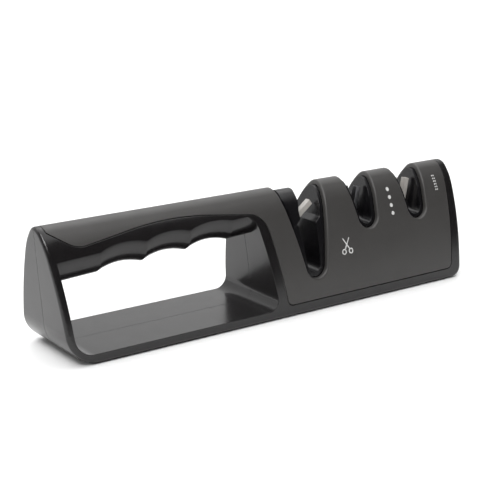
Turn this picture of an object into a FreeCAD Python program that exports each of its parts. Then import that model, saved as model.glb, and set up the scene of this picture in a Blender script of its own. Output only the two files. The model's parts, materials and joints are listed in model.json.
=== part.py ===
import FreeCAD, Part
import math
import os

# Hand-held pull-through sharpener for knives and scissors: a loop handle on the left (-X), a
# block with three sharpening slots on the right (+X). Millimetres, +Z up, origin at the middle
# of the footprint on the table. The body is a clamshell that parts on the plane Y = 0.

# ---- overall form ----
length = 215.0            # over the two ends, at the top
height = 52.9             # table to crown
width = 41.6              # across the base
flank_aim = 0.24427       # flanks carried up to the crown's height come in to this share of the base
flank_drop = 10.9         # the flank arcs are centred this far below the table
shoulder_radius = 27.0    # flank to crown
crown_radius = 0.1442 * width
end_lean = 4.07           # degrees, both ends lean outwards going up
left_heel_radius = 13.5   # bottom corner under the handle
right_heel_radius = 5.0
edge_radius = 1.5         # soft edge round the ends and along the base
foot_proud = 0.4          # the feet lift the base off the table

# ---- walls, fits and gaps ----
cover_wall = 2.0
cover_gap = 0.35          # dark line round the cover
body_wall = 2.2
block_wall = 2.8          # between the hand opening and the block's hollow
seam_gap = 0.16           # between the two body halves
slot_gap = 0.35           # cover edge to guide
slot_lip = 0.9            # rounded edge of the cover along each slot
guide_wall = 1.5
fit_clearance = 0.12      # for pieces set into slits and seats
block_floor = foot_proud + cover_wall + body_wall   # inside of the block's bottom

# ---- sharpening slots; their places hang from the right end and from the crown ----
fine_x = length / 2 - 26.2
coarse_x = fine_x - 29.8
scissors_x = coarse_x - 33.1
scissors_bottom = height - 38.8
scissors_round = 5.7
scissors_angle = 11.7
knife_bottom = height - 22.5
knife_round = 5.6
knife_angle = 8.3

# ---- hand opening and grip ----
floor_top = 4.3
end_post = 3.0            # wall left standing at the handle end
opening_left_radius = 8.0
opening_right_radius = 5.0
opening_top_radius = 8.0
block_face_x = scissors_x - 21.0   # block face that the fingers meet, carried down to Z = 0
block_face_lean = 0.15    # it leans towards the handle by this much per mm of height
grip_low = height - 21.2  # lowest line of the grip, where the first groove begins
grip_rise = 0.0455        # the grip gets thinner to the right
grip_round = 0.19 * width  # radius along both lower edges of the grip
groove_count = 3
groove_start = 23.3 - length / 2   # left end of the first finger groove
groove_pitch = (block_face_x - 18.0 - groove_start) / groove_count
groove_depth = 1.75
groove_sharpness = 0.85   # under 1 makes the ridges between the fingers narrower
grip_crease = 0.12        # keeps the round from running out tangent to the flank
roof_left = height - 5.4  # top of the opening where it cuts the flanks
roof_right = height - 8.9
roof_bend = 26.0          # from the block face
grip_skin = 6.0           # solid part of the grip above its grooves
grip_cavity_in = 12.0     # its hollow starts this far left of the first groove

# ---- cover outline, side view ----
cover_left_border = 3.2   # body strip left showing at the handle end
cover_right_border = 4.7  # and at the block end, at crown height
cover_heel_border = 6.7   # at the cover's bottom edge
cover_bottom = 5.4
cover_land = 4.8          # body strip between the block face and the cover
cover_corner = 2.5
cover_end_drop = 1.7      # depths of the outline's corners below the crown
cover_dip_drop = 8.5
cover_crest_drop = 2.9
cover_dip_in = 13.9       # the dip's distance from the handle end
cover_dip_round = 11.0
cover_crest_round = 160.0
cover_turn_round = 9.0

# ---- scissors station ----
trough_bottom = scissors_bottom + 2.3
trough_round = 3.6
trough_angle = 4.5
trough_top = height - 16.2
flare_angle = 54.0
rest_reach = 2.1          # the rest stops this far short of the slot axis
rest_waist = 3.3          # and this far at its waist
rest_shoulder_z = height - 6.4
rest_waist_z = height - 10.4
rest_knee_z = height - 13.7
rest_foot_z = height - 16.3
rest_drop = 1.6           # its top lies this far below the cover's surface
rest_back = 16.0          # longer than the room left of the slot axis
bar_size = 2.5
bar_length = 16.8
bar_tilt = 38.0
bar_middle_z = height - 13.5
bar_near_y = -4.4

# ---- knife stations ----
blade_width = 2.4
blade_thick = 2.6
blade_lean = 11.0
blade_top = height - 6.0
blade_foot = knife_bottom - 5.0
blade_offset = 3.4        # outer edge from the slot axis, at the top
blade_inner_y = 0.5

# ---- carrier and fasteners ----
plate_bottom = 8.0
plate_thick = 3.0
plate_left = block_face_x + 9.6
plate_right = length / 2 - 11.5
plate_half_width = width / 2 - 6.8
clamp_room = 0.6          # between a clamp screw's head and the wall of the hollow
pedestal_wrap = 3.0       # how far a pedestal reaches up round its guide
pedestal_side = 9.2
post_radius = 3.6
post_x = (plate_left + 6.0, plate_right - 6.0)
post_y = width / 2 - 9.8
screw_radius = 1.5
screw_head_radius = 2.8
screw_head_height = 1.8
screw_play = 0.2          # holes that a screw passes through
screw_slack = 0.02        # screws and blade feet in the holes that grip them
screw_recess = 0.4        # share of the head's height left under the cross recess
cross_reach = 0.55        # the cross recess, as shares of the head's radius
cross_width = 0.11
screw_bite = 2.0          # wall left beyond the tip of a housing screw
housing_screw_at = (
    ((scissors_x + coarse_x) / 2, 16.0),
    (scissors_x + 18.5, height - 12.9),
    ((coarse_x + fine_x) / 2, height - 12.9),
    (length / 2 - 14.0, 14.0),
    (scissors_x - 14.2, height / 2),
)
boss_radius = 3.0
screw_sunk = 0.4          # the housing screws' heads lie this deep under the cover
clamp_length = 15.0
clamp_height = 7.0
clamp_thick = 1.6
clamp_bottom = knife_bottom - 9.9
clamp_screw_radius = 1.1
clamp_screw_length = 5.5
clamp_screw_offset = 5.5
clamp_screw_head_radius = 2.0
clamp_screw_head_height = 1.2
hook_length = 7.0
hook_height = 1.4
hook_reach = 1.0
hook_z = 8.2
hook_x = (scissors_x, coarse_x, fine_x)
peg_radius = 1.4
peg_reach = 2.6
peg_x = (groove_start - 4.0, groove_start + 2 * groove_pitch)
peg_z = height - 13.7

# ---- feet ----
foot_length = 16.0
foot_width = 8.0
foot_thick = 1.6
foot_x = (23.5 - length / 2, length / 2 - 31.5)
foot_y = width / 2 - 7.3

far = 400.0               # longer than anything here, for cutting right through
above = height + 12.0     # clear of the crown, for outlines open at the top


def vec(x, y, z):
    return FreeCAD.Vector(x, y, z)


def side_point(x, z):
    return vec(x, -far / 2, z)


def section_point(y, z):
    return vec(-far / 2, y, z)


def rounded_face(corners, to_point):
    """Flat face inside straight sides joined by tangent arcs; a corner is (u, v, radius)."""
    runs = []
    count = len(corners)
    for i in range(count):
        before = FreeCAD.Vector(*corners[i - 1][:2], 0)
        here = FreeCAD.Vector(*corners[i][:2], 0)
        after = FreeCAD.Vector(*corners[(i + 1) % count][:2], 0)
        radius = corners[i][2]
        back = (before - here).normalize()
        ahead = (after - here).normalize()
        half = back.getAngle(ahead) / 2
        reach = radius / math.tan(half)
        bisector = (back + ahead).normalize()
        middle = here + bisector * (radius / math.sin(half) - radius)
        runs.append((here + back * reach, middle, here + ahead * reach, radius))
    edges = []
    for i in range(count):
        start, middle, end, radius = runs[i]
        following = runs[(i + 1) % count][0]
        if radius > 0:
            arc = Part.Arc(to_point(start.x, start.y), to_point(middle.x, middle.y), to_point(end.x, end.y))
            edges.append(arc.toShape())
        if (following - end).Length > 1e-4:
            line = Part.LineSegment(to_point(end.x, end.y), to_point(following.x, following.y))
            edges.append(line.toShape())
    return Part.Face(Part.Wire(edges))


def through_y(corners):
    """Side-view outline carried right through the object along Y."""
    return rounded_face(corners, side_point).extrude(vec(0, far, 0))


def box(x0, x1, y0, y1, z0, z1):
    return Part.makeBox(x1 - x0, y1 - y0, z1 - z0, vec(x0, y0, z0))


def end_x(z):
    """Distance of the two end planes from the middle at a height."""
    return length / 2 - (height - z) * math.tan(math.radians(end_lean))


def block_face(z):
    return block_face_x - block_face_lean * z


# The upright section: two flank arcs, two shoulder arcs and a crown arc, each tangent to the
# next, so an inset copy only needs smaller radii about the same centres.
flank_centre_z = -flank_drop
flank_base_y = width / 2
flank_aim_y = flank_aim * width / 2
flank_centre_y = (
    (flank_base_y ** 2 + flank_drop ** 2 - flank_aim_y ** 2 - (height + flank_drop) ** 2)
    / (2 * (flank_base_y - flank_aim_y)))
flank_radius = math.hypot(flank_base_y - flank_centre_y, flank_drop)
crown_centre_z = height - crown_radius


def tangent_centre(y_a, z_a, reach_a, y_b, z_b, reach_b):
    """Centre at reach_a from the first point and reach_b from the second, on the lower side."""
    gap_y = y_b - y_a
    gap_z = z_b - z_a
    gap = math.hypot(gap_y, gap_z)
    along = (reach_a ** 2 - reach_b ** 2 + gap ** 2) / (2 * gap)
    across = math.sqrt(reach_a ** 2 - along ** 2)
    return (y_a + (along * gap_y + across * gap_z) / gap, z_a + (along * gap_z - across * gap_y) / gap)


shoulder_y, shoulder_z = tangent_centre(
    flank_centre_y, flank_centre_z, flank_radius - shoulder_radius,
    0.0, crown_centre_z, shoulder_radius - crown_radius)


def toward(centre_y, centre_z, y, z, radius):
    """Point at a radius from a centre, in the direction of another point."""
    reach = math.hypot(y - centre_y, z - centre_z)
    return (centre_y + (y - centre_y) * radius / reach, centre_z + (z - centre_z) * radius / reach)


flank_top_z = toward(flank_centre_y, flank_centre_z, shoulder_y, shoulder_z, flank_radius)[1]


def flank_y(z):
    """Half width of the body at a height, below the crown arc."""
    if z > flank_top_z:
        return shoulder_y + math.sqrt(shoulder_radius ** 2 - (z - shoulder_z) ** 2)
    return flank_centre_y + math.sqrt(flank_radius ** 2 - (z - flank_centre_z) ** 2)


# The pedestals are as wide as the hollow allows at the clamps, with the clamps and their screws on.
pedestal_half_width = (
    flank_y(clamp_bottom + clamp_height) - cover_wall - body_wall
    - clamp_thick - clamp_screw_head_height - clamp_room)


def screw_seat(z):
    """Y of the step under the head of a housing screw, deep enough to hide the head."""
    return flank_y(z + screw_head_radius + screw_play) - cover_wall - screw_head_height - screw_sunk


def section_face(inset):
    flank = flank_radius - inset
    shoulder = shoulder_radius - inset
    bottom_z = foot_proud + inset
    bottom_y = flank_centre_y + math.sqrt(flank ** 2 - (bottom_z - flank_centre_z) ** 2)
    upper = toward(flank_centre_y, flank_centre_z, shoulder_y, shoulder_z, flank)
    halfway = ((bottom_y + upper[0]) / 2, (bottom_z + upper[1]) / 2)
    middle = toward(flank_centre_y, flank_centre_z, *halfway, flank)
    crest = toward(shoulder_y, shoulder_z, 0.0, crown_centre_z, shoulder)
    bulge = toward(shoulder_y, shoulder_z, (upper[0] + crest[0]) / 2, (upper[1] + crest[1]) / 2, shoulder)
    right = [(bottom_y, bottom_z), middle, upper, bulge, crest]
    left = [(-y, z) for y, z in right]
    crown = section_point(0, height - inset)
    edges = [
        Part.LineSegment(section_point(*left[0]), section_point(*right[0])).toShape(),
        Part.Arc(section_point(*right[0]), section_point(*right[1]), section_point(*right[2])).toShape(),
        Part.Arc(section_point(*right[2]), section_point(*right[3]), section_point(*right[4])).toShape(),
        Part.Arc(section_point(*right[4]), crown, section_point(*left[4])).toShape(),
        Part.Arc(section_point(*left[4]), section_point(*left[3]), section_point(*left[2])).toShape(),
        Part.Arc(section_point(*left[2]), section_point(*left[1]), section_point(*left[0])).toShape(),
    ]
    return Part.Face(Part.Wire(edges))


def envelope(inset):
    """Whole outer form, drawn in by an inset."""
    low = foot_proud + inset
    top = above
    outline = [
        (-end_x(low) + inset, low, left_heel_radius - inset),
        (end_x(low) - inset, low, max(right_heel_radius - inset, 0.5)),
        (end_x(top) - inset, top, 0),
        (-end_x(top) + inset, top, 0),
    ]
    return through_y(outline).common(section_face(inset).extrude(vec(far, 0, 0)))


def crease_edges(solid, wanted):
    """Edges where two faces meet at an angle and whose middle passes the test."""
    found = []
    for edge in solid.Edges:
        faces = solid.ancestorsOfType(edge, Part.Face)
        if len(faces) != 2 or edge.Length < 0.02:
            continue
        middle = edge.valueAt((edge.FirstParameter + edge.LastParameter) / 2)
        normals = []
        for face in faces:
            u, v = face.Surface.parameter(middle)
            normals.append(face.normalAt(u, v))
        if normals[0].getAngle(normals[1]) > 0.3 and wanted(middle):
            found.append(edge)
    return found


def soft_envelope():
    solid = envelope(0)
    return solid.makeFillet(edge_radius, crease_edges(solid, lambda p: True))


def cover_outline(grow):
    """Side view of the cover: S-shaped edge along the grip, then down the block and round it."""
    left = cover_left_border - length / 2
    dip_x = cover_dip_in - length / 2
    turn_z = height - cover_dip_drop
    turn_x = block_face(turn_z) + cover_land
    face = rounded_face([
        (left, above, 0),
        (left, height - cover_end_drop, 1.5),
        (dip_x, height - cover_dip_drop, cover_dip_round),
        ((dip_x + turn_x) / 2, height - cover_crest_drop, cover_crest_round),
        (turn_x, turn_z, cover_turn_round),
        (block_face(cover_bottom) + cover_land, cover_bottom, cover_corner),
        (end_x(cover_bottom) - cover_heel_border, cover_bottom, cover_corner),
        (end_x(height) - cover_right_border, height, 0),
        (end_x(height) - cover_right_border, above, 0),
    ], side_point)
    if grow:
        face = face.makeOffset2D(grow)
    return face.extrude(vec(0, far, 0))


def slot(axis, bottom, radius, angle, inset):
    """U-bottomed V slot carried right through along Y."""
    slope = math.tan(math.radians(angle))
    round_in = radius - inset
    low = bottom + inset
    half_low = round_in * math.tan(math.radians(90 - angle) / 2)
    half_top = round_in / math.cos(math.radians(angle)) + (above - bottom - radius) * slope
    return through_y([
        (axis - half_low, low, round_in),
        (axis + half_low, low, round_in),
        (axis + half_top, above, 0),
        (axis - half_top, above, 0),
    ])


slots = (
    (scissors_x, scissors_bottom, scissors_round, scissors_angle),
    (coarse_x, knife_bottom, knife_round, knife_angle),
    (fine_x, knife_bottom, knife_round, knife_angle),
)


def hooks(grow):
    """Snap hooks inside the cover's lower edge, or the pockets that they click into."""
    lugs = []
    for x in hook_x:
        for side in (-1, 1):
            outer = (flank_y(hook_z) - cover_wall + 0.3) * side
            inner = (flank_y(hook_z) - cover_wall - hook_reach - grow) * side
            lugs.append(box(x - hook_length / 2 - grow, x + hook_length / 2 + grow,
                            min(outer, inner), max(outer, inner),
                            hook_z - hook_height / 2 - grow, hook_z + hook_height / 2 + grow))
    return lugs


def slot_edges(shell):
    """Outer edges of the cover along the slots."""
    inner = envelope(edge_radius / 2)

    def wanted(middle):
        beside = min(abs(middle.x - axis) for axis, bottom, radius, angle in slots)
        return beside < 14 and middle.z > scissors_bottom - 1 and not inner.isInside(middle, 1e-3, True)

    return crease_edges(shell, wanted)


def top_cover(outer, under_cover):
    shell = outer.cut(under_cover).common(cover_outline(0))
    for axis, bottom, radius, angle in slots:
        shell = shell.cut(slot(axis, bottom, radius, angle, 0))
    shell = biggest(shell)
    shell = shell.makeFillet(slot_lip, slot_edges(shell))
    shell = shell.fuse([lug.common(envelope(0.5)) for lug in hooks(0)])
    return shell.removeSplitter()


def grip_low_line(x):
    """Height of the underside of the grip: it climbs to the right, with a groove for each finger."""
    turns = (x - groove_start) / groove_pitch
    wave = 0.0
    if 0 < turns < groove_count:
        wave = math.sin(math.pi * (turns % 1)) ** groove_sharpness
    return grip_low + grip_rise * (x - groove_start) + groove_depth * wave


def grip_section(x):
    """Outline of everything above the rounded underside of the grip at one place along it."""
    low_z = grip_low_line(x)
    centre_z = low_z + grip_round
    reach = flank_radius - grip_round + grip_crease
    centre_y = flank_centre_y + math.sqrt(reach ** 2 - (centre_z - flank_centre_z) ** 2)
    side = toward(flank_centre_y, flank_centre_z, centre_y, centre_z, reach + grip_round)
    turn = math.radians(50)   # a point about half way round the edge
    lower_corner = (centre_y + grip_round * math.sin(turn), centre_z - grip_round * math.cos(turn))
    right = [(centre_y, low_z), lower_corner, side, (width, side[1] + 1.0), (width, above)]
    left = [(-y, z) for y, z in right]

    def at(point):
        return vec(x, point[0], point[1])

    edges = [
        Part.LineSegment(at(left[0]), at(right[0])).toShape(),
        Part.Arc(at(right[0]), at(right[1]), at(right[2])).toShape(),
        Part.LineSegment(at(right[2]), at(right[3])).toShape(),
        Part.LineSegment(at(right[3]), at(right[4])).toShape(),
        Part.LineSegment(at(right[4]), at(left[4])).toShape(),
        Part.LineSegment(at(left[4]), at(left[3])).toShape(),
        Part.LineSegment(at(left[3]), at(left[2])).toShape(),
        Part.Arc(at(left[2]), at(left[1]), at(left[0])).toShape(),
    ]
    return Part.Wire(edges)


def grip_core():
    """The grip and all above it, drawn through sections an eighth of a groove apart."""
    step = groove_pitch / 8
    first = math.floor((-length / 2 - groove_start) / step)
    last = math.ceil((block_face_x + 6 - groove_start) / step)
    sections = [grip_section(groove_start + i * step) for i in range(first, last + 1)]
    return Part.makeLoft(sections, True, True)


def hand_opening():
    """The loop that the hand goes through, with the rounded underside of the grip left standing."""
    outline = through_y([
        (end_post - end_x(floor_top), floor_top, opening_left_radius),
        (block_face(floor_top), floor_top, opening_right_radius),
        (block_face(roof_right), roof_right, opening_top_radius),
        (block_face_x - roof_bend, roof_left, 40.0),
        (end_post - end_x(roof_left), roof_left, 0),
    ])
    return outline.cut(grip_core())


def cavities():
    """Hollow of the block and of the grip."""
    hollow = envelope(cover_wall + body_wall)
    block = through_y([
        (block_face(0) + block_wall, 0, 0),
        (end_x(height), 0, 0),
        (end_x(height), height, 0),
        (block_face(height) + block_wall, height, 0),
    ])
    root = groove_start - grip_cavity_in
    grip_floor = grip_low_line(block_face_x) + grip_skin
    grip = through_y([
        (root, grip_floor, 2.0),
        (block_face(grip_floor) + 4.0, grip_floor, 0),
        (block_face(height), above, 0),
        (root, above, 0),
    ])
    return hollow.common(block.fuse(grip))


def boss_at(x, z, radius, y0, y1):
    return Part.makeCylinder(radius, y1 - y0, vec(x, y0, z), vec(0, 1, 0))


def body_shell(outer, under_cover):
    recess = outer.cut(under_cover).common(cover_outline(cover_gap))
    shell = outer.cut(recess).cut(hand_opening())
    hollow = cavities()
    bosses = [boss_at(x, z, boss_radius, -far / 8, far / 8) for x, z in housing_screw_at]
    keep = Part.makeCompound(bosses)
    hollow = hollow.cut(keep)
    shell = shell.cut(hollow)
    for axis, bottom, radius, angle in slots:
        shell = shell.cut(slot(axis, bottom, radius, angle, -slot_gap))
    for pocket in hooks(fit_clearance):
        shell = shell.cut(pocket)
    return biggest(shell)


def foot_seat(x, y, grow):
    half_l = foot_length / 2 + grow
    half_w = foot_width / 2 + grow
    radius = foot_width / 2 + grow - 0.05
    return rounded_face([
        (x - half_l, y - half_w, radius),
        (x + half_l, y - half_w, radius),
        (x + half_l, y + half_w, radius),
        (x - half_l, y + half_w, radius),
    ], lambda u, v: vec(u, v, 0)).extrude(vec(0, 0, foot_thick))


def split_body(shell):
    front = shell.common(box(-far, far, -far, -seam_gap / 2, -far, far))
    rear = shell.common(box(-far, far, seam_gap / 2, far, -far, far))
    for x, z in housing_screw_at:
        rear = rear.cut(boss_at(x, z, screw_radius + screw_play, 0, far / 4))
        rear = rear.cut(boss_at(x, z, screw_head_radius + screw_play, screw_seat(z), far / 4))
        front = front.cut(boss_at(x, z, screw_radius, screw_bite - screw_seat(z), 0))
    for x in peg_x:
        peg = boss_at(x, peg_z, peg_radius, -seam_gap / 2 - 0.5, peg_reach)
        front = front.fuse(peg)
        rear = rear.cut(boss_at(x, peg_z, peg_radius + fit_clearance, 0, peg_reach + fit_clearance))
    for x in post_x:
        for side in (-1, 1):
            hole = Part.makeCylinder(screw_radius + screw_play, 20, vec(x, post_y * side, -1))
            head = Part.makeCylinder(screw_head_radius + screw_play, foot_proud + screw_head_height,
                                     vec(x, post_y * side, 0))
            front = front.cut(hole.fuse(head))
            rear = rear.cut(hole.fuse(head))
    for x in foot_x:
        for side in (-1, 1):
            seat = foot_seat(x, foot_y * side, fit_clearance)
            front = front.cut(seat)
            rear = rear.cut(seat)
    return biggest(front), biggest(rear)


def biggest(shape):
    return max(shape.Solids, key=lambda s: s.Volume)


def feet():
    made = {}
    for x, end in zip(foot_x, ("left", "right")):
        for side, name in ((-1, "front"), (1, "rear")):
            foot = foot_seat(x, foot_y * side, 0)
            made["foot_" + end + "_" + name] = foot
    return made


def turned(shape, axis):
    """The same piece turned half round about a slot's upright axis."""
    copy = shape.copy()
    copy.rotate(vec(axis, 0, 0), vec(0, 0, 1), 180)
    return copy


def rest_face(grow):
    """Side view of the blade rest on the left of the scissors slot."""
    face = rounded_face([
        (scissors_x - rest_back, above, 0),
        (scissors_x - rest_reach, above, 0),
        (scissors_x - rest_reach, rest_shoulder_z, 3.0),
        (scissors_x - rest_waist, rest_waist_z, 2.0),
        (scissors_x - rest_waist, rest_knee_z, 0.8),
        (scissors_x - 2 * rest_waist, rest_foot_z, 0.8),
        (scissors_x - rest_back, rest_foot_z - 2.5, 0),
    ], side_point)
    if grow:
        face = face.makeOffset2D(grow)
    return face.extrude(vec(0, far, 0))


def half_space(side, gap):
    """Everything on the front (-1) or rear (1) side of the middle plane, short of it by a gap."""
    return box(-far, far, min(gap * side, far * side), max(gap * side, far * side), -far, far)


def scissors_rest(side):
    """Half of the block on the left of the scissors slot that a scissor blade lies against."""
    room = slot(*slots[0], slot_gap + guide_wall).common(envelope(rest_drop))
    block = rest_face(0).common(room).common(half_space(side, seam_gap / 2))
    return biggest(block.cut(scissors_bar(fit_clearance)))


def scissors_bar(grow):
    half = bar_length / 2 + grow
    side = bar_size + 2 * grow
    bar = box(-half, half, bar_near_y - grow, bar_near_y + bar_size + grow, -side / 2, side / 2)
    bar.rotate(vec(0, 0, 0), vec(0, 1, 0), -bar_tilt)
    bar.translate(vec(scissors_x, 0, bar_middle_z))
    return bar


def scissors_guide(under_cover):
    slope = math.tan(math.radians(trough_angle))
    turn = math.radians(90 - trough_angle) / 2
    half_low = trough_round * math.tan(turn)
    half_top = trough_round / math.cos(math.radians(trough_angle)) + (
        trough_top - trough_bottom - trough_round) * slope
    spread = 14.0
    rise = spread / math.tan(math.radians(flare_angle))
    trough = through_y([
        (scissors_x - half_low, trough_bottom, trough_round),
        (scissors_x + half_low, trough_bottom, trough_round),
        (scissors_x + half_top, trough_top, 0.6),
        (scissors_x + half_top + spread, trough_top + rise, 0),
        (scissors_x + half_top + spread, far, 0),
        (scissors_x - half_top - spread, far, 0),
        (scissors_x - half_top - spread, trough_top + rise, 0),
        (scissors_x - half_top, trough_top, 0.6),
    ])
    room = slot(*slots[0], slot_gap + guide_wall)
    guide = slot(*slots[0], slot_gap).common(under_cover).cut(trough.common(room))
    guide = guide.cut(rest_face(fit_clearance).common(room))
    return biggest(guide.cut(scissors_bar(fit_clearance)))


def blade(axis, grow):
    """Upright sharpening blade on the front side of a knife slot, leaning to the right."""
    tall = (blade_top - blade_foot) / math.cos(math.radians(blade_lean)) + 2 * grow
    piece = box(-blade_width - grow, grow, -blade_inner_y - blade_thick - grow, -blade_inner_y + grow,
                -tall + grow, grow)
    piece.rotate(vec(0, 0, 0), vec(0, 1, 0), blade_lean)
    piece.translate(vec(axis + blade_offset, 0, blade_top))
    return piece


def knife_guide(index, under_cover):
    axis = slots[index][0]
    channel = slot(*slots[index], slot_gap).cut(slot(*slots[index], slot_gap + guide_wall))
    guide = channel.common(under_cover)
    slit = blade(axis, fit_clearance)
    return biggest(guide.cut(slit).cut(turned(slit, axis)))


def pedestal(index):
    axis, bottom, radius, angle = slots[index]
    block = box(axis - pedestal_side, axis + pedestal_side, -pedestal_half_width, pedestal_half_width,
                plate_bottom + plate_thick - 0.01, bottom + pedestal_wrap)
    return block.cut(slot(axis, bottom, radius, angle, slot_gap))


def clamp_screw_places():
    places = []
    for axis in (coarse_x, fine_x):
        for side in (-1, 1):
            places.append((axis, side))
    return places


def guide_carrier():
    """Plate on four posts; a pedestal carries each guide and grips the feet of its blades."""
    carrier = box(plate_left, plate_right, -plate_half_width, plate_half_width,
                  plate_bottom, plate_bottom + plate_thick)
    for index in range(len(slots)):
        carrier = carrier.fuse(pedestal(index))
    for x in post_x:
        for side in (-1, 1):
            post = Part.makeCylinder(post_radius, plate_bottom - block_floor,
                                     vec(x, post_y * side, block_floor))
            hole = Part.makeCylinder(screw_radius, plate_bottom + plate_thick, vec(x, post_y * side, 0))
            carrier = carrier.fuse(post).cut(hole)
    for axis in (coarse_x, fine_x):
        slit = blade(axis, screw_slack)
        carrier = carrier.cut(slit).cut(turned(slit, axis))
    for axis, side in clamp_screw_places():
        tip = (pedestal_half_width + clamp_thick - clamp_screw_length) * side
        head = (pedestal_half_width + 1) * side
        carrier = carrier.cut(boss_at(axis + clamp_screw_offset * side, clamp_bottom + clamp_height / 2,
                                      clamp_screw_radius, min(tip, head), max(tip, head)))
    for x, z in housing_screw_at:
        carrier = carrier.cut(boss_at(x, z, boss_radius + 0.5, -far / 4, far / 4))
    return biggest(carrier.removeSplitter())


def blade_clamp(axis, side):
    """Small steel plate that holds a blade's foot in the pedestal."""
    y0 = pedestal_half_width if side > 0 else -pedestal_half_width - clamp_thick
    plate = box(axis - clamp_length / 2, axis + clamp_length / 2, y0, y0 + clamp_thick,
                clamp_bottom, clamp_bottom + clamp_height)
    return plate.cut(boss_at(axis + clamp_screw_offset * side, clamp_bottom + clamp_height / 2,
                             clamp_screw_radius + fit_clearance, -far / 4, far / 4))


def round_head_screw(radius, head_radius, head_height, shank):
    """Screw along -Z from its head, the underside of the head at Z = 0, with a cross recess."""
    head = Part.makeCylinder(head_radius, head_height, vec(0, 0, 0))
    head = head.makeFillet(head_height * screw_recess, [head.Edges[0]])
    body = head.fuse(Part.makeCylinder(radius, shank, vec(0, 0, -shank)))
    for angle in (0, 90):
        wing = box(-head_radius * cross_reach, head_radius * cross_reach,
                   -head_radius * cross_width, head_radius * cross_width,
                   head_height * screw_recess, head_height + 1)
        wing.rotate(vec(0, 0, 0), vec(0, 0, 1), angle)
        body = body.cut(wing)
    return body.removeSplitter()


def placed(shape, direction, x, y, z):
    copy = shape.copy()
    copy.Placement = FreeCAD.Placement(vec(x, y, z), FreeCAD.Rotation(vec(0, 0, 1), direction))
    return copy


def clamp_screws():
    screw = round_head_screw(clamp_screw_radius - screw_slack, clamp_screw_head_radius, clamp_screw_head_height,
                             clamp_screw_length)
    made = []
    for axis, side in clamp_screw_places():
        made.append(placed(screw, vec(0, side, 0), axis + clamp_screw_offset * side,
                           (pedestal_half_width + clamp_thick) * side, clamp_bottom + clamp_height / 2))
    return Part.makeCompound(made)


def module_screws():
    screw = round_head_screw(screw_radius - screw_slack, screw_head_radius, screw_head_height - screw_play,
                             plate_bottom - foot_proud - screw_head_height)
    made = []
    for x in post_x:
        for side in (-1, 1):
            made.append(placed(screw, vec(0, 0, -1), x, post_y * side, foot_proud + screw_head_height))
    return Part.makeCompound(made)


def housing_screws():
    made = []
    for x, z in housing_screw_at:
        seat = screw_seat(z)
        screw = round_head_screw(screw_radius - screw_slack, screw_head_radius, screw_head_height - screw_play,
                                 2 * seat - 2 * screw_bite)
        made.append(placed(screw, vec(0, 1, 0), x, seat, z))
    return Part.makeCompound(made)


def build():
    outer = soft_envelope()
    under_cover = envelope(cover_wall)
    front, rear = split_body(body_shell(outer, under_cover))
    parts = {
        "front_body_half": front,
        "rear_body_half": rear,
        "top_cover": top_cover(outer, under_cover),
        "scissors_guide": scissors_guide(under_cover),
        "coarse_guide": knife_guide(1, under_cover),
        "fine_guide": knife_guide(2, under_cover),
        "scissors_front_rest": scissors_rest(-1),
        "scissors_rear_rest": scissors_rest(1),
        "scissors_bar": scissors_bar(0),
        "guide_carrier": guide_carrier(),
        "clamp_screws": clamp_screws(),
        "module_screws": module_screws(),
        "housing_screws": housing_screws(),
    }
    for axis, name in ((coarse_x, "coarse_blade"), (fine_x, "fine_rod")):
        parts[name + "_front"] = blade(axis, 0)
        parts[name + "_rear"] = turned(blade(axis, 0), axis)
        parts[name + "_front_clamp"] = blade_clamp(axis, -1)
        parts[name + "_rear_clamp"] = blade_clamp(axis, 1)
    parts.update(feet())
    return parts


os.makedirs("parts", exist_ok=True)
for node, shape in build().items():
    shape.exportStep(os.path.join("parts", node + ".step"))
    print(node, len(shape.Solids), "solids", round(shape.Volume), "mm3", shape.isValid())
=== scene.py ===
import json
import math

import bmesh
import bpy
from mathutils import Matrix, Vector
from mathutils.bvhtree import BVHTree


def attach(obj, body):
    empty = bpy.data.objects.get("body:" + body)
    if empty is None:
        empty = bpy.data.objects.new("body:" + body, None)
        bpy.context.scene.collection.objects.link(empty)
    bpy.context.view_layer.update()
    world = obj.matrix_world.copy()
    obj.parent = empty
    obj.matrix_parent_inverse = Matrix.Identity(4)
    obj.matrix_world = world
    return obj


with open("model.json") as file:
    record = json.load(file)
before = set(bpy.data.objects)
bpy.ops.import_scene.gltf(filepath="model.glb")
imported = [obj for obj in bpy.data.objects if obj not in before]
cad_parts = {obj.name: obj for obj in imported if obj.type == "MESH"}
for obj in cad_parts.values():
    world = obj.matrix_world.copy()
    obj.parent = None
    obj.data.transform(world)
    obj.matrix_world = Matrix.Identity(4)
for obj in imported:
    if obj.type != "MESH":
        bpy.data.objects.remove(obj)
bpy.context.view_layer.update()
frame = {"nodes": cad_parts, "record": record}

MM = 0.001
nodes = frame["nodes"]


# ---- node helpers -------------------------------------------------------------------------

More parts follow.
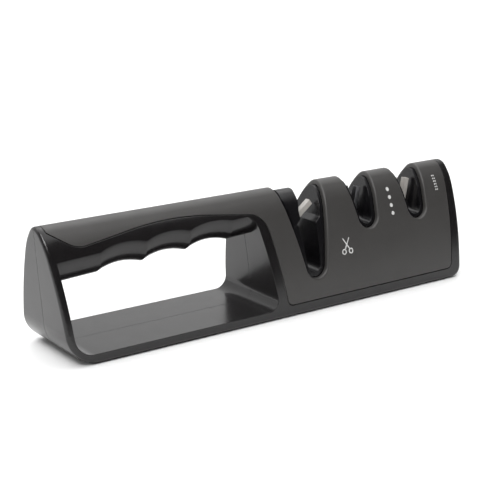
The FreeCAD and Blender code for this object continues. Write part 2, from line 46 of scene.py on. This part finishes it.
class Shader:
    """A material's node tree, with one short call for each kind of node."""

    def __init__(self, name):
        self.material = bpy.data.materials.new(name)
        self.material.use_nodes = True
        self.tree = self.material.node_tree
        self.tree.nodes.clear()
        self.output = self.tree.nodes.new("ShaderNodeOutputMaterial")
        self.surface = self.tree.nodes.new("ShaderNodeBsdfPrincipled")
        self.tree.links.new(self.surface.outputs[0], self.output.inputs["Surface"])
        self.place = self.tree.nodes.new("ShaderNodeTexCoord").outputs["Object"]

    def link(self, source, socket):
        self.tree.links.new(source, socket)

    def put(self, socket, value):
        if isinstance(value, bpy.types.NodeSocket):
            self.link(value, socket)
        else:
            socket.default_value = value

    def set(self, **values):
        for key, value in values.items():
            self.put(self.surface.inputs[key.replace("_", " ")], value)

    def stretched(self, scale):
        node = self.tree.nodes.new("ShaderNodeMapping")
        node.inputs["Scale"].default_value = scale
        self.link(self.place, node.inputs["Vector"])
        return node.outputs[0]

    def noise(self, size, detail=2.0, rough=0.5, vector=None):
        """Soft noise whose blobs are about size metres across."""
        node = self.tree.nodes.new("ShaderNodeTexNoise")
        node.inputs["Scale"].default_value = 1 / size
        node.inputs["Detail"].default_value = detail
        node.inputs["Roughness"].default_value = rough
        self.link(vector or self.place, node.inputs["Vector"])
        return node.outputs["Fac"]

    def spread(self, value, low, high, to_low=0.0, to_high=1.0):
        node = self.tree.nodes.new("ShaderNodeMapRange")
        for index, number in enumerate((low, high, to_low, to_high), 1):
            node.inputs[index].default_value = number
        self.link(value, node.inputs[0])
        return node.outputs[0]

    def math(self, kind, first, second=0.0):
        node = self.tree.nodes.new("ShaderNodeMath")
        node.operation = kind
        self.put(node.inputs[0], first)
        self.put(node.inputs[1], second)
        return node.outputs[0]

    def mix(self, amount, first, second):
        node = self.tree.nodes.new("ShaderNodeMix")
        node.data_type = "RGBA"
        self.put(node.inputs[0], amount)
        self.put(node.inputs[6], (*first, 1.0) if isinstance(first, tuple) else first)
        self.put(node.inputs[7], (*second, 1.0) if isinstance(second, tuple) else second)
        return node.outputs[2]

    def bevel(self, radius):
        node = self.tree.nodes.new("ShaderNodeBevel")
        node.samples = 6
        node.inputs["Radius"].default_value = radius
        return node.outputs[0]

    def edges(self, rounded):
        """0 on open faces and 1 close to an edge, from how far the rounded normal leans."""
        plain = self.tree.nodes.new("ShaderNodeNewGeometry").outputs["Normal"]
        node = self.tree.nodes.new("ShaderNodeVectorMath")
        node.operation = "DOT_PRODUCT"
        self.link(rounded, node.inputs[0])
        self.link(plain, node.inputs[1])
        return self.spread(node.outputs["Value"], 0.995, 0.86)

    def bump(self, height, depth, normal=None):
        node = self.tree.nodes.new("ShaderNodeBump")
        node.inputs["Strength"].default_value = 1.0
        node.inputs["Distance"].default_value = depth
        self.link(height, node.inputs["Height"])
        if normal is not None:
            self.link(normal, node.inputs["Normal"])
        return node.outputs[0]


def moulded_plastic(name, dark, light, roughness, grain, grain_depth, edge_radius, painted_highlight_colour):
    """Moulded plastic: cloudy colour, grained surface, slightly polished edges with a paler colour painted
    on them as highlight.
    """
    s = Shader(name)
    clouds = s.noise(18 * MM, 3.0)
    fine = s.noise(grain, 3.0, 0.6)
    speck = s.spread(s.noise(grain * 0.8, 1.0), 0.35, 0.65)
    rounded = s.bevel(edge_radius)
    edge = s.edges(rounded)
    # Patchy mask near edges: a paler colour is painted there as edge highlight, and the roughness is lowered
    # there.
    painted_highlight_mask = s.math("MULTIPLY", edge, s.spread(s.noise(3 * MM, 2.0), 0.35, 0.7, 0.25, 1.0))
    base = s.mix(s.math("MULTIPLY", clouds, 0.6), dark, light)
    base = s.mix(s.math("MULTIPLY", speck, 0.35), base, light)
    # Painted edge highlight: the base colour turns paler along edges.
    s.set(Base_Color=s.mix(s.math("MULTIPLY", painted_highlight_mask, 0.6), base, painted_highlight_colour))
    low, high = roughness
    rough = s.spread(s.noise(7 * MM, 4.0, 0.6), 0.3, 0.7, low, high)
    s.set(Roughness=s.math("SUBTRACT", rough, s.math("MULTIPLY", painted_highlight_mask, 0.06)))
    s.set(Specular_IOR_Level=0.5, IOR=1.5)
    s.set(Normal=s.bump(fine, grain_depth, rounded))
    return s.material


# The last colour given to each finish below is the paler colour painted on its edges as highlight.
def body_plastic():
    return moulded_plastic("body_black", (0.0060, 0.0052, 0.0056), (0.0095, 0.0086, 0.0090), (0.20, 0.27),
                           0.40 * MM, 0.0010 * MM, 0.35 * MM, (0.030, 0.028, 0.029))


def cover_plastic():
    return moulded_plastic("cover_grey", (0.036, 0.034, 0.033), (0.052, 0.050, 0.048), (0.38, 0.46),
                           0.30 * MM, 0.007 * MM, 0.35 * MM, (0.090, 0.088, 0.086))


def guide_plastic():
    return moulded_plastic("guide_black", (0.0035, 0.0032, 0.0040), (0.0060, 0.0056, 0.0066), (0.16, 0.24),
                           0.50 * MM, 0.0010 * MM, 0.30 * MM, (0.030, 0.030, 0.033))


def carrier_plastic():
    return moulded_plastic("carrier_plastic", (0.030, 0.030, 0.030), (0.045, 0.045, 0.045), (0.45, 0.55),
                           0.40 * MM, 0.008 * MM, 0.25 * MM, (0.060, 0.060, 0.060))


def foot_rubber():
    return moulded_plastic("foot_rubber", (0.012, 0.012, 0.012), (0.022, 0.022, 0.022), (0.70, 0.82),
                           0.25 * MM, 0.020 * MM, 0.30 * MM, (0.035, 0.035, 0.035))


def ceramic():
    """Fired ceramic: off-white, fine-grained, with grey metal streaks where blades have run."""
    s = Shader("ceramic")
    grain = s.noise(0.12 * MM, 4.0, 0.7)
    cloud = s.noise(2.5 * MM, 3.0)
    streaks = s.spread(s.noise(1.2 * MM, 3.0, 0.6, s.stretched((1.0, 1.0, 0.12))), 0.55, 0.75)
    base = s.mix(cloud, (0.36, 0.34, 0.32), (0.46, 0.44, 0.41))
    s.set(Base_Color=s.mix(s.math("MULTIPLY", streaks, 0.35), base, (0.22, 0.215, 0.21)))
    s.set(Roughness=s.spread(grain, 0.3, 0.7, 0.42, 0.62))
    s.set(Normal=s.bump(grain, 0.010 * MM, s.bevel(0.25 * MM)))
    return s.material


def metal(name, dark, light, roughness, brush):
    s = Shader(name)
    lines = s.noise(0.4 * MM, 4.0, 0.7, s.stretched(brush))
    cloud = s.noise(4 * MM, 2.0)
    rounded = s.bevel(0.15 * MM)
    base = s.mix(lines, dark, light)
    s.set(Base_Color=s.mix(s.math("MULTIPLY", cloud, 0.3), base, dark))
    s.set(Metallic=1.0)
    s.set(Roughness=s.spread(lines, 0.3, 0.7, *roughness))
    s.set(Normal=s.bump(lines, 0.004 * MM, rounded))
    return s.material


def carbide():
    return metal("carbide", (0.10, 0.10, 0.105), (0.20, 0.20, 0.21), (0.30, 0.45), (1.0, 1.0, 0.1))


def plated_steel():
    return metal("steel", (0.48, 0.48, 0.50), (0.66, 0.66, 0.67), (0.22, 0.36), (0.15, 1.0, 1.0))


def pad_print():
    """Pale pad-printed ink, slightly mottled."""
    s = Shader("print_ink")
    mottle = s.noise(0.25 * MM, 3.0, 0.7)
    s.set(Base_Color=s.mix(s.spread(mottle, 0.3, 0.7), (0.52, 0.52, 0.51), (0.70, 0.70, 0.69)))
    s.set(Roughness=s.spread(mottle, 0.3, 0.7, 0.45, 0.6))
    s.set(Normal=s.bump(mottle, 0.004 * MM))
    return s.material


finishes = {
    "body_black": body_plastic(),
    "cover_grey": cover_plastic(),
    "guide_black": guide_plastic(),
    "carrier_plastic": carrier_plastic(),
    "foot_rubber": foot_rubber(),
    "ceramic": ceramic(),
    "carbide": carbide(),
    "steel": plated_steel(),
}

for part in frame["record"]["subparts"]:
    mesh = nodes[part["node"]].data
    mesh.materials.clear()
    mesh.materials.append(finishes[part["material_slot"]])


# ---- printed marks: plain symbols, no lettering -------------------------------------------

ink = pad_print()
INK_THICK = 0.03 * MM
cover_mesh = nodes["top_cover"].data
cover_tree = BVHTree.FromPolygons([v.co.copy() for v in cover_mesh.vertices],
                                  [tuple(p.vertices) for p in cover_mesh.polygons])


def on_flank(x, z, lift):
    """Point over the cover's front flank, its side-view place given in metres."""
    hit, normal, _, _ = cover_tree.ray_cast(Vector((x, -0.1, z)), Vector((0, 1, 0)))
    return hit + normal * lift


def printed(name, outlines, thick=INK_THICK):
    """A thin mark on the cover's front flank; outlines are drawn in side view, in millimetres."""
    mesh = bmesh.new()
    for outline in outlines:
        face = mesh.faces.new([mesh.verts.new((x * MM, 0, z * MM)) for x, z in outline])
        face.normal_update()
        if face.normal.y > 0:
            face.normal_flip()
    bmesh.ops.remove_doubles(mesh, verts=mesh.verts[:], dist=0.001 * MM)
    made = bmesh.ops.extrude_face_region(mesh, geom=mesh.faces[:])
    top = {v for v in made["geom"] if isinstance(v, bmesh.types.BMVert)}
    for v in mesh.verts:
        v.co = on_flank(v.co.x, v.co.z, thick if v in top else -thick)
    bmesh.ops.recalc_face_normals(mesh, faces=mesh.faces[:])
    data = bpy.data.meshes.new(name)
    mesh.to_mesh(data)
    mesh.free()
    data.materials.append(ink)
    piece = bpy.data.objects.new(name, data)
    bpy.context.scene.collection.objects.link(piece)
    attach(piece, "root")


def around(x, z, radius, count=24):
    turns = [2 * math.pi * i / count for i in range(count)]
    return [(x + radius * math.cos(a), z + radius * math.sin(a)) for a in turns]


def ring(x, z, radius, wide):
    """Ring cut into short blocks."""
    outer, inner = around(x, z, radius), around(x, z, radius - wide)
    return [(outer[i - 1], outer[i], inner[i], inner[i - 1]) for i in range(len(outer))]


def taper(x0, z0, wide0, x1, z1, wide1, steps=6):
    """Straight stroke from one point to another, changing in width, cut into short blocks."""
    long = math.hypot(x1 - x0, z1 - z0)
    across = ((z0 - z1) / long, (x1 - x0) / long)
    rows = []
    for i in range(steps + 1):
        t = i / steps
        x, z = x0 + (x1 - x0) * t, z0 + (z1 - z0) * t
        half = (wide0 + (wide1 - wide0) * t) / 2
        rows.append(((x + across[0] * half, z + across[1] * half),
                     (x - across[0] * half, z - across[1] * half)))
    return [(rows[i][0], rows[i + 1][0], rows[i + 1][1], rows[i][1]) for i in range(steps)]


# The scissors sign, in millimetres.
EYE_RADIUS = 1.25
EYE_LINE = 0.5
EYE_IN = 1.0              # an eye's middle, in from the side of the sign
BLADE_ROOT, BLADE_TIP = 0.55, 0.42
TIP_SHARE = 0.62          # how far out a blade's tip lies, as a share of half the width
UPPER_BLADE = 1.3         # the blade on top is this much thicker, so the two don't coincide
DOT_PITCH = 3             # between columns of dots, in dot radii


def scissors_sign(x, z, half_wide, tall):
    """Open scissors, blades upwards."""
    eye, line = EYE_RADIUS, EYE_LINE
    for side, name, thick in ((-1, "left", INK_THICK), (1, "right", INK_THICK * UPPER_BLADE)):
        eye_x, eye_z = x + side * (half_wide - EYE_IN), z + eye
        tip_x, tip_z = x - side * half_wide * TIP_SHARE, z + tall
        lean = math.atan2(tip_x - eye_x, tip_z - eye_z)
        root_x, root_z = eye_x + (eye - line / 2) * math.sin(lean), eye_z + (eye - line / 2) * math.cos(lean)
        blade = taper(root_x, root_z, BLADE_ROOT, tip_x, tip_z, BLADE_TIP)
        printed("sign_scissors_eye_" + name, ring(eye_x, eye_z, eye, line))
        printed("sign_scissors_blade_" + name, blade, thick)


def dots(name, x, low, high, radius, across, up):
    """Grid of dots: large for the coarse stage, small for the fine one."""
    outlines = []
    room = high - low - 2 * radius
    for i in range(across):
        for j in range(up):
            dot_x = x + (i - (across - 1) / 2) * DOT_PITCH * radius
            dot_z = low + radius + room * j / (up - 1)
            outlines.append(around(dot_x, dot_z, radius))
    printed(name, outlines)


scissors_sign(36.3, 21.6, 2.9, 7.0)
dots("sign_coarse", 66.1, 34.2, 46.2, 0.85, 1, 4)
dots("sign_fine", 95.6, 41.2, 47.8, 0.32, 2, 6)


# ---- floor, light and camera --------------------------------------------------------------

FRONT_EDGE, BACK_EDGE = -0.35, 0.55    # across the room, as the Y of a direction
FRONT_LEVEL, BACK_LEVEL = 0.06, 1.05


def floor():
    mesh = bpy.data.meshes.new("floor")
    half = 6.0
    corners = [(-half, -half, 0), (half, -half, 0), (half, half, 0), (-half, half, 0)]
    mesh.from_pydata(corners, [], [(0, 1, 2, 3)])
    s = Shader("floor_white")
    s.set(Base_Color=s.mix(s.noise(0.2, 2.0), (0.93, 0.93, 0.93), (0.95, 0.95, 0.95)))
    s.set(Roughness=0.6)
    s.set(Specular_IOR_Level=0.2)
    mesh.materials.append(s.material)
    piece = bpy.data.objects.new("floor", mesh)
    bpy.context.scene.collection.objects.link(piece)


def softbox(name, place, target, wide, tall, power):
    light = bpy.data.lights.new(name, "AREA")
    light.shape = "RECTANGLE"
    light.size = wide
    light.size_y = tall
    light.energy = power
    lamp = bpy.data.objects.new(name, light)
    lamp.location = place
    lamp.rotation_euler = (Vector(target) - Vector(place)).to_track_quat("-Z", "Y").to_euler()
    bpy.context.scene.collection.objects.link(lamp)


def camera():
    """Near side and left end, seen from a little above through a long lens."""
    azimuth, elevation, roll = math.radians(-35.651), math.radians(15.724), math.radians(0.053)
    distance = 553.4 * MM
    aim_right, aim_up = -8.274 * MM, 29.017 * MM
    back = Vector((math.sin(azimuth) * math.cos(elevation), -math.cos(azimuth) * math.cos(elevation),
                   math.sin(elevation)))
    right = Vector((math.cos(azimuth), math.sin(azimuth), 0))
    up = back.cross(right)
    turned_right = right * math.cos(roll) - up * math.sin(roll)
    turned_up = right * math.sin(roll) + up * math.cos(roll)
    data = bpy.data.cameras.new("camera")
    data.lens = 94.07
    data.sensor_width = 36.0
    data.clip_start = 0.01
    data.clip_end = 50.0
    viewer = bpy.data.objects.new("camera", data)
    place = back * distance + right * aim_right + up * aim_up
    turn = Matrix((turned_right, turned_up, back)).transposed().to_4x4()
    viewer.matrix_world = Matrix.Translation(place) @ turn
    bpy.context.scene.collection.objects.link(viewer)
    bpy.context.scene.camera = viewer


def surroundings():
    """Room round the set: bright behind, dark in front, so that black plastic stays black."""
    world = bpy.data.worlds.new("studio")
    world.use_nodes = True
    tree = world.node_tree
    direction = tree.nodes.new("ShaderNodeTexCoord").outputs["Generated"]
    parts = tree.nodes.new("ShaderNodeSeparateXYZ")
    tree.links.new(direction, parts.inputs[0])
    depth = tree.nodes.new("ShaderNodeMapRange")
    depth.interpolation_type = "SMOOTHSTEP"
    for index, number in enumerate((FRONT_EDGE, BACK_EDGE, FRONT_LEVEL, BACK_LEVEL), 1):
        depth.inputs[index].default_value = number
    tree.links.new(parts.outputs["Y"], depth.inputs[0])
    tree.links.new(depth.outputs[0], tree.nodes["Background"].inputs["Strength"])
    tree.nodes["Background"].inputs["Color"].default_value = (1.0, 1.0, 1.0, 1.0)
    bpy.context.scene.world = world


def studio():
    surroundings()
    bpy.context.scene.view_settings.view_transform = "Standard"
    softbox("overhead", (0.0, 0.4, 2.5), (0.0, 0.4, 0.0), 4.0, 4.0, 95.0)
    softbox("key", (-0.9, -1.0, 1.5), (0.0, 0.0, 0.03), 0.9, 0.5, 16.0)


floor()
studio()
camera()
